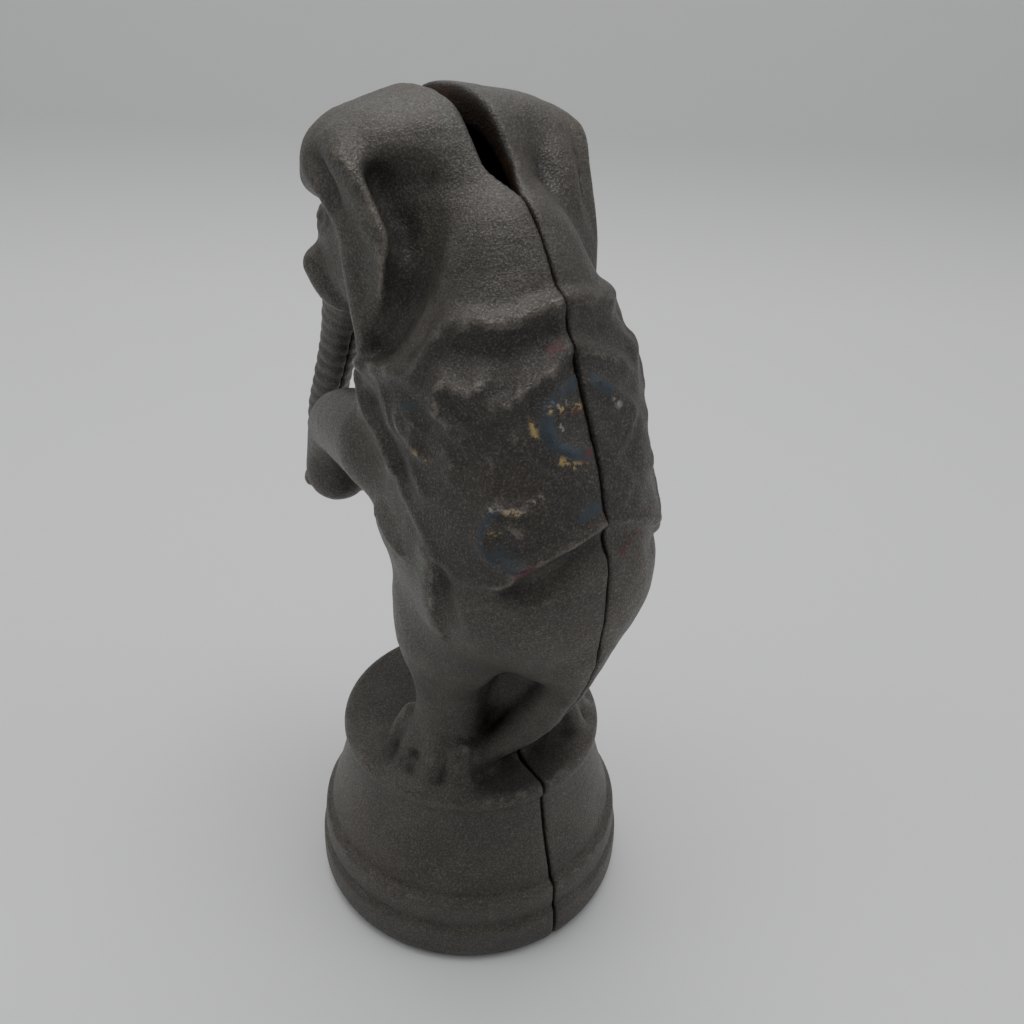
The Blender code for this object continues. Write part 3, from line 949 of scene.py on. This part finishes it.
def right_joint(field, values):
    """The right half's sockets, clearance hole and seat for the screw's head, made in its mirror image."""
    for y, z in PEGS:
        cuts, gx, gy, gz = field.window((-9, y - 3, z - 3), (5, y + 3, z + 3))
        socket = to_rod(gx, gy, gz, PEG + FIT, -9, PEG_LENGTH + FIT, y, z)
        values[cuts] = smooth_max(values[cuts], -socket, 0.3)
    cuts, gx, gy, gz = field.window((-9, SCREW_Y - 6, SCREW_Z - 6), (30, SCREW_Y + 6, SCREW_Z + 6))
    hole = to_rod(gx, gy, gz, SHANK + FIT, -9, 40, SCREW_Y, SCREW_Z)
    seat = to_rod(gx, gy, gz, HEAD_RADIUS + FIT, -HEAD_SEAT, 40, SCREW_Y, SCREW_Z)
    values[cuts] = smooth_max(values[cuts], -np.minimum(hole, seat), 0.4)


def largest_piece(points, quads):
    """The mesh without any loose crumbs."""
    label = np.arange(len(points))
    while True:
        least = label[quads].min(1)
        fresh = label.copy()
        np.minimum.at(fresh, quads, np.repeat(least[:, None], 4, 1))
        fresh = fresh[fresh]
        if (fresh == label).all():
            break
        label = fresh
    main = np.bincount(label).argmax()
    kept = label == main
    number = np.cumsum(kept) - 1
    return points[kept], number[quads[kept[quads[:, 0]]]]


def add_object(name, data):
    obj = bpy.data.objects.new(name, data)
    bpy.context.scene.collection.objects.link(obj)
    return obj


def mesh_object(name, points, faces):
    """A smooth-shaded object."""
    mesh = bpy.data.meshes.new(name)
    mesh.from_pydata(points, [], faces)
    mesh.shade_smooth()
    return add_object(name, mesh)


def sculpted_object(name, points, quads):
    """An object from points in the sculpting frame."""
    return mesh_object(name, (points * MM + [0.0, TUB_AXIS_Y, 0.0]).tolist(), quads.tolist())


def mark(mesh, name, values):
    mesh.attributes.new(name, "FLOAT", "POINT").data.foreach_set("value", values.astype(np.float32))


def paint_amount(u, v, paint, colour):
    """How much paint of one colour is left at chart points, from 0 to 1."""
    amount = np.zeros(u.shape)
    for name, half_width, stations in paint:
        if name == colour:
            away, _, _ = to_path(u, v, smooth_path(stations, 3))
            amount = np.maximum(amount, np.clip((half_width - away) / 0.5 + 0.5, 0, 1))
    return amount


def mark_surface(mesh, field, skin, points, paint):
    """Mesh attributes for the material: edges and creases, hollows for the painted shade, the rusty inside,
    the blanket and the paint.
    """
    solid = np.clip(0.5 - skin / field.cell, 0, 1).astype(np.float32)
    fine = 0.5 - field.sample(blurred(solid, FINE_BLUR), points)
    broad = 0.5 - field.sample(blurred(solid, BROAD_BLUR), points)
    # The edge mark is above a half on convex edges, which are rubbed brighter, and below a half in narrow
    # creases, which are darkened.
    edge_contrast = np.where(points[:, 2] < TUB_HEIGHT + 1, 1.8, 2.2)
    mark(mesh, "edge", np.clip(0.5 + edge_contrast * fine, 0, 1))
    # How open the surface is: low deep in hollows, where the material paints shade.
    mark(mesh, "open", np.clip(0.5 + 2.0 * broad, 0, 1))
    mark(mesh, "inside", np.clip(-field.sample(skin, points) / 0.8 - 0.4, 0, 1))
    u, v = chart(*points.T)
    back = on_back(points[:, 1], v)
    mark(mesh, "cloth", patch_lift(u, v, BLANKET, 1.0, 2.0) * back)
    for colour in PAINT_COLOURS:
        mark(mesh, colour, paint_amount(u, v, paint, colour) * back)


def casting(name, form, side):
    """One half: its own ornaments and grain on the shared form, then the tub, the hollow and the cuts."""
    if side > 0:
        folds, paint, seed = FOLDS + LEFT_ORNAMENTS, LEFT_PAINT, 7
        ear_depth, own_limb, joint = 2.2, TAIL_TIP, left_joint
    else:
        folds, paint, seed = RIGHT_FOLDS + RIGHT_ORNAMENTS, RIGHT_PAINT, 57
        ear_depth, own_limb, joint = 1.0, RIGHT_SHOULDER, right_joint
    field = form.copy()
    behind_ear(field, ear_depth)
    limb(field, own_limb)
    relief(field, folds, seed)
    tub(field)
    skin = field.values.copy()
    hollow(field)
    coin_slot(field)
    values = smooth_max(field.values, parting_gap(field, skin) - field.axes[0][:, None, None], WORN_EDGE)
    joint(field, values)
    points, quads = largest_piece(*surface_net(field, values))
    # The right half is sculpted in its mirror image, so its points and its faces are turned over here.
    turn = np.array((side, 1, 1))
    obj = sculpted_object(name, points * turn, quads[:, ::side])
    mark_surface(obj.data, field, skin, points, paint)
    return obj


def screw_mesh(name):
    """The round-head machine screw: a threaded shank and a domed head with a driving slot."""
    low = (-20.2, SCREW_Y - 4.4, SCREW_Z - 4.4)
    high = (SHANK_TIP + 0.8, SCREW_Y + 4.4, SCREW_Z + 4.4)
    field = Field(low, high, SCREW_CELL)
    cuts, x, y, z = field.window((-np.inf,) * 3, (np.inf,) * 3)
    across, up = y - SCREW_Y, z - SCREW_Z
    radius = np.hypot(across, up)
    turn = (x / PITCH + np.arctan2(up, across) / (2 * np.pi)) % 1.0
    threaded = smooth_step((x - THREAD_START) / 2.0)
    thread = THREAD_DEPTH * threaded * np.abs(2 * turn - 1)
    under_head = HEAD_SEAT - 0.3
    shank = np.maximum(radius - SHANK + thread, np.maximum(under_head - 0.5 - x, x - SHANK_TIP))
    shank = smooth_max(shank, radius * 0.7 + x - SHANK_TIP - 0.7, 0.3)
    head = to_ball(x, y, z, (under_head, SCREW_Y, SCREW_Z), (HEAD_HEIGHT, HEAD_RADIUS, HEAD_RADIUS))
    head = smooth_max(head, x - under_head, 0.4)
    slot = np.maximum(np.abs(up) - DRIVE_SLOT / 2, x - under_head + HEAD_HEIGHT - 1.1)
    field.join(cuts, smooth_max(smooth_min(shank, head, 0.3), -slot, 0.2), 0.01)
    return sculpted_object(name, *largest_piece(*surface_net(field, field.values)))


# --- materials ---


PAINT_COLOURS = {
    "blue": (0.046, 0.059, 0.073),
    "gold": (0.42, 0.31, 0.13),
    "white": (0.34, 0.32, 0.30),
    "red": (0.12, 0.036, 0.040),
}


class Nodes:
    """The nodes of a material or a world, made and linked in one line each."""

    def __init__(self, owner, shader):
        owner.use_nodes = True
        self.owner = owner
        self.tree = owner.node_tree
        self.shader = self.tree.nodes[shader]
        coordinates = self.add("ShaderNodeTexCoord")
        self.place = coordinates.outputs["Object"]
        self.direction = coordinates.outputs["Generated"]

    def add(self, kind, inputs=(), **settings):
        node = self.tree.nodes.new(kind)
        for name, value in settings.items():
            setattr(node, name, value)
        for name, value in dict(inputs).items():
            self.feed(node.inputs[name], value)
        return node

    def feed(self, socket, value):
        if isinstance(value, bpy.types.NodeSocket):
            self.tree.links.new(value, socket)
        elif isinstance(value, tuple) and len(value) == 3 and socket.type == "RGBA":
            socket.default_value = (*value, 1)
        else:
            socket.default_value = value

    def shade(self, **values):
        """Feeds the shader's sockets, named with _ for a space."""
        for name, value in values.items():
            self.feed(self.shader.inputs[name.replace("_", " ")], value)

    def noise(self, size, detail=2.0, roughness=0.5):
        """Noise with lumps of about that many millimetres."""
        inputs = {"Vector": self.place, "Scale": 1 / (size * MM), "Detail": detail, "Roughness": roughness}
        return self.add("ShaderNodeTexNoise", inputs).outputs["Fac"]

    def attribute(self, name):
        return self.add("ShaderNodeAttribute", attribute_name=name).outputs["Fac"]

    def math(self, operation, *values, kind="ShaderNodeMath"):
        node = self.add(kind, operation=operation)
        for socket, value in zip(node.inputs, values):
            self.feed(socket, value)
        return node.outputs["Value"]

    def remap(self, value, low, high, to_low=0.0, to_high=1.0):
        inputs = {"Value": value, "From Min": low, "From Max": high, "To Min": to_low, "To Max": to_high}
        return self.add("ShaderNodeMapRange", inputs, interpolation_type="SMOOTHSTEP").outputs[0]

    def mix(self, share, first, second, blend="MIX"):
        node = self.add("ShaderNodeMix", data_type="RGBA", blend_type=blend)
        colours = [socket for socket in node.inputs if socket.type == "RGBA"]
        self.feed(node.inputs[0], share)
        self.feed(colours[0], first)
        self.feed(colours[1], second)
        return [socket for socket in node.outputs if socket.type == "RGBA"][0]

    def bump(self, height, distance, strength=1.0, normal=None):
        inputs = {"Height": height, "Distance": distance * MM, "Strength": strength}
        if normal:
            inputs["Normal"] = normal
        return self.add("ShaderNodeBump", inputs).outputs["Normal"]


def cast_iron(name):
    """Old grainy cast iron with painted shade in its hollows, darker in narrow creases, rubbed brighter on
    the edges, with chips of old paint.
    """
    nodes = Nodes(bpy.data.materials.new(name), "Principled BSDF")
    grain = nodes.noise(0.30, 3.0, 0.6)
    blotches = nodes.noise(9.0, 3.0)
    stains = nodes.noise(17.0, 2.0)
    edge = nodes.attribute("edge")
    broken_edge = nodes.math("ADD", edge, nodes.remap(nodes.noise(1.6, 3.0), 0.3, 0.7, -0.10, 0.10))
    colour = nodes.mix(nodes.remap(blotches, 0.35, 0.7), (0.064, 0.056, 0.049), (0.082, 0.074, 0.064))
    colour = nodes.mix(nodes.remap(stains, 0.55, 0.72, 0.0, 0.45), colour, (0.060, 0.066, 0.054))
    colour = nodes.mix(nodes.remap(stains, 0.45, 0.28, 0.0, 0.3), colour, (0.090, 0.068, 0.051))
    colour = nodes.mix(nodes.math("MULTIPLY", nodes.attribute("cloth"), 0.5), colour, (0.032, 0.026, 0.024))
    # Painted shade: the colour is darkened deep in the hollows.
    hollow_shade = nodes.remap(nodes.attribute("open"), 0.42, 0.12, 0.0, 0.5)
    colour = nodes.mix(hollow_shade, colour, (0.016, 0.013, 0.013))
    # Darker in narrow creases.
    colour = nodes.mix(nodes.remap(broken_edge, 0.42, 0.22, 0.0, 0.6), colour, (0.020, 0.017, 0.016))
    colour = nodes.mix(nodes.remap(broken_edge, 0.60, 0.86, 0.0, 0.65), colour, (0.19, 0.17, 0.152))
    colour = nodes.mix(nodes.remap(grain, 0.5, 0.72, 0.0, 0.5), colour, (0.150, 0.138, 0.124), "SCREEN")
    colour = nodes.mix(nodes.remap(grain, 0.50, 0.30, 0.0, 0.5), colour, (0.014, 0.012, 0.012))
    rust = nodes.mix(nodes.remap(blotches, 0.4, 0.65), (0.050, 0.034, 0.026), (0.110, 0.056, 0.032))
    colour = nodes.mix(nodes.attribute("inside"), colour, rust)
    patches = nodes.remap(nodes.noise(3.0), 0.4, 0.7, -0.08, 0.08)
    chips = nodes.math("ADD", nodes.noise(0.9, 4.0, 0.7), patches)
    covers = {"blue": 0.42, "gold": 0.50, "white": 0.54, "red": 0.50}
    for paint, bare in covers.items():
        left = nodes.math("MULTIPLY", nodes.attribute(paint), nodes.remap(chips, bare - 0.05, bare + 0.05))
        colour = nodes.mix(left, colour, PAINT_COLOURS[paint])
    rough = nodes.remap(grain, 0.3, 0.7, 0.56, 0.42)
    pits = nodes.bump(nodes.noise(1.3, 3.0), 0.16, 0.7)
    nodes.shade(
        Base_Color=colour,
        Roughness=nodes.math("SUBTRACT", rough, nodes.remap(edge, 0.6, 0.9, 0, 0.1)),
        Metallic=nodes.remap(broken_edge, 0.45, 0.85, 0.25, 0.6),
        Normal=nodes.bump(grain, 0.17, 1.0, pits),
    )
    return nodes.owner


def screw_steel(name):
    """Dull steel, patched brown with old rust."""
    nodes = Nodes(bpy.data.materials.new(name), "Principled BSDF")
    wear = nodes.noise(1.2, 3.0, 0.6)
    nodes.shade(
        Base_Color=nodes.mix(nodes.remap(wear, 0.35, 0.65), (0.13, 0.085, 0.06), (0.26, 0.25, 0.24)),
        Roughness=nodes.remap(wear, 0.35, 0.65, 0.62, 0.38),
        Metallic=nodes.remap(wear, 0.35, 0.6, 0.4, 0.9),
        Normal=nodes.bump(nodes.noise(0.3, 2.0), 0.03),
    )
    return nodes.owner


# --- the set ---

CAMERA_PLACE = (76.1, 117.2, 160.2)
CAMERA_SIGHT = (-0.493, -0.693, -0.526)
CAMERA_ROLL = radians(2.0)
CAMERA_LENS = 36.91

# Level along the camera's sight, and the middle of the bank in the frame.
FACING = Vector((CAMERA_SIGHT[0], CAMERA_SIGHT[1], 0)).normalized()
MIDDLE = Vector((0, 0, 0.07))


def place_camera():
    data = bpy.data.cameras.new("camera")
    data.lens = CAMERA_LENS
    data.sensor_width = 36.0
    data.clip_start = 0.005
    camera = add_object("camera", data)
    camera.location = Vector(CAMERA_PLACE) * MM + Vector((0, TUB_AXIS_Y, 0))
    aim = Vector(CAMERA_SIGHT).to_track_quat("-Z", "Y").to_matrix()
    camera.rotation_euler = (aim @ Matrix.Rotation(CAMERA_ROLL, 3, "Z")).to_euler()
    bpy.context.scene.camera = camera


def area_light(name, place, size, power):
    data = bpy.data.lights.new(name, "AREA")
    data.size = size
    data.energy = power
    light = add_object(name, data)
    light.location = place
    light.rotation_euler = (MIDDLE - light.location).to_track_quat("-Z", "Y").to_euler()


def sweep():
    """A pale floor that curves up into a backdrop well behind the object, with painted shade making the wall
    a little darker.
    """
    flat, radius, top, half = 0.27, 0.06, 3.0, 15.0
    rows = [(-15.0, 0.0), (-1.0, 0.0), (0.0, 0.0), (flat, 0.0)]
    for step in range(1, 13):
        angle = radians(90) * step / 12
        rows.append((flat + radius * sin(angle), radius * (1 - cos(angle))))
    rows.append((flat + radius, top))
    across = Vector((FACING.y, -FACING.x, 0))
    points = [
        FACING * away + across * side + Vector((0, 0, height))
        for away, height in rows
        for side in (-half, half)
    ]
    faces = [(2 * i, 2 * i + 1, 2 * i + 3, 2 * i + 2) for i in range(len(rows) - 1)]
    obj = mesh_object("sweep", points, faces)
    nodes = Nodes(bpy.data.materials.new("pale_paper"), "Principled BSDF")
    colour = nodes.mix(nodes.noise(160.0, 3.0), (0.77, 0.775, 0.77), (0.80, 0.80, 0.79))
    height = nodes.add("ShaderNodeSeparateXYZ", {"Vector": nodes.place}).outputs["Z"]
    # Painted shade: the paper is a little darker up the wall than on the floor.
    colour = nodes.mix(nodes.remap(height, 0.0, 0.05), colour, (0.74, 0.74, 0.74))
    nodes.shade(Base_Color=colour, Roughness=0.75)
    obj.data.materials.append(nodes.owner)


def studio():
    """A light tent: brightest above, dim behind the camera, and never dark where a view sees it directly."""
    world = bpy.data.worlds.new("studio")
    bpy.context.scene.world = world
    nodes = Nodes(world, "Background")

    def towards(axis):
        return nodes.math("DOT_PRODUCT", nodes.direction, tuple(axis), kind="ShaderNodeVectorMath")

    above = nodes.remap(towards((0, 0, 1)), -0.1, 0.75, 1.08, 1.38)
    ahead = nodes.remap(towards(FACING), -0.80, 0.10, 0.05, 1.02)
    seen = nodes.add("ShaderNodeLightPath").outputs["Is Camera Ray"]
    backdrop = nodes.math("MULTIPLY", seen, 0.6)
    strength = nodes.math("MAXIMUM", nodes.math("MULTIPLY", above, ahead), backdrop)
    nodes.shade(Color=(0.97, 0.99, 1.0), Strength=strength)


def set_scene():
    place_camera()
    sweep()
    studio()
    area_light("overhead", (-0.06, -0.10, 0.62), 0.45, 1.9)


def place_piece(piece, node, material):
    """Gives a piece its material and puts it in place of a CAD node."""
    piece.data.materials.append(material)
    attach(piece, node)
    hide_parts(node)


def main():
    form = elephant()
    iron = cast_iron("cast_iron")
    for node, side in (("left_half", 1), ("right_half", -1)):
        place_piece(casting(node + "_casting", form, side), node, iron)
    place_piece(screw_mesh("machine_screw"), "screw", screw_steel("screw_steel"))
    set_scene()


main()
